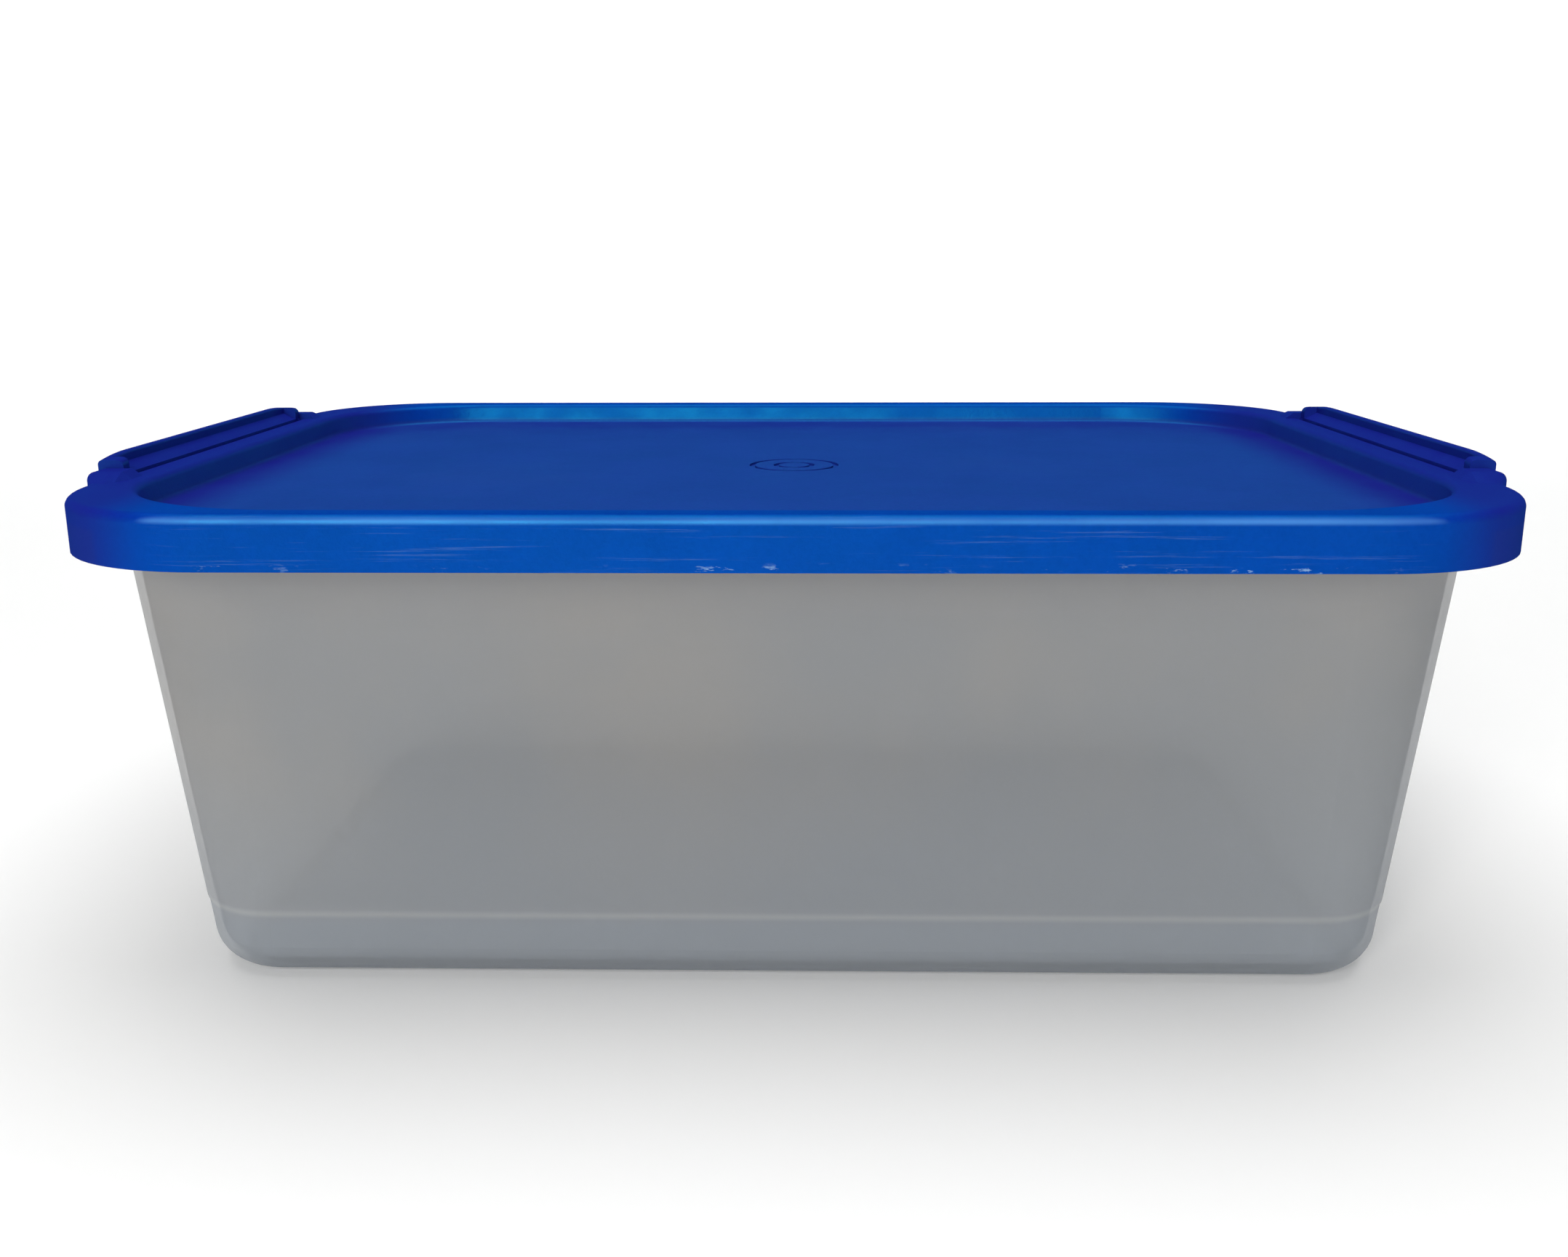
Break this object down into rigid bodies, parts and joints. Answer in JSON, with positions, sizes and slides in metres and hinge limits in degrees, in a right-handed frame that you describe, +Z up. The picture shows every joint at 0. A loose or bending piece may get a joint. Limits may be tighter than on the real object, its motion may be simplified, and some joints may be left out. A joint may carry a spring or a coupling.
{
  "type": "lidded storage box",
  "caption": "Rectangular translucent storage box with drafted walls, a lift-off lid with a recessed stacking panel, and a hinged clip latch at each end.",
  "frame": {"origin": "centre of the footprint, on the surface the box stands on", "axes": "+Z up out of the lid, +X along the box's length, +Y across its width"},
  "size_m": [0.3492, 0.248, 0.1292],
  "materials": {
    "frosted_plastic": "frosted translucent natural polypropylene",
    "blue_plastic": "satin moulded blue polypropylene"
  },
  "bodies": {
    "tub": {"tub": "frosted_plastic"},
    "lid": {"lid": "blue_plastic"},
    "latch_left": {"latch_left": "blue_plastic"},
    "latch_right": {"latch_right": "blue_plastic"}
  },
  "joints": [
    {"name": "lid_lift", "type": "slide", "parent": "tub", "child": "lid", "axis": [0, 0, 1], "range_m": [0, 0.15]},
    {"name": "latch_left_hinge", "type": "hinge", "parent": "lid", "child": "latch_left", "pos_m": [-0.168, 0, 0.1238], "axis": [0, 1, 0], "range_deg": [0, 50]},
    {"name": "latch_right_hinge", "type": "hinge", "parent": "lid", "child": "latch_right", "pos_m": [0.168, 0, 0.1238], "axis": [0, -1, 0], "range_deg": [0, 50]}
  ]
}
